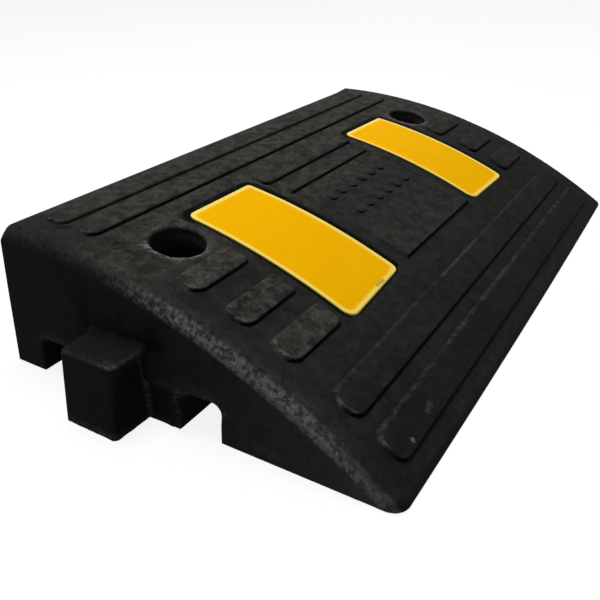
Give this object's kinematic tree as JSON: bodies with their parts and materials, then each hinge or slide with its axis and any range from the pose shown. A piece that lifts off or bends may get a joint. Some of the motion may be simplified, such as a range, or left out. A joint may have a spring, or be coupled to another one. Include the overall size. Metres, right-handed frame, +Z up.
{
  "type": "rubber kerb ramp",
  "caption": "Modular rubber kerb ramp: ribbed convex wedge with yellow reflective panels, sunk anchor holes, drainage channels, and a tongue and socket to join blocks in a row.",
  "frame": {"origin": "on the road, midway between the two anchor holes", "axes": "+X along the kerb, from the tongue end to the socket end; +Y towards the kerb; +Z up"},
  "size_m": [0.531, 0.3, 0.1021],
  "materials": {
    "black_rubber": "moulded recycled rubber, matt, with a granular worn edge",
    "yellow_sheet": "yellow reflective sheet with a clear face",
    "adhesive": "black contact adhesive"
  },
  "bodies": {
    "root": {"ramp_body": "black_rubber", "tongue_end_adhesive": "adhesive", "tongue_end_sheet": "yellow_sheet", "socket_end_adhesive": "adhesive", "socket_end_sheet": "yellow_sheet"}
  },
  "joints": []
}
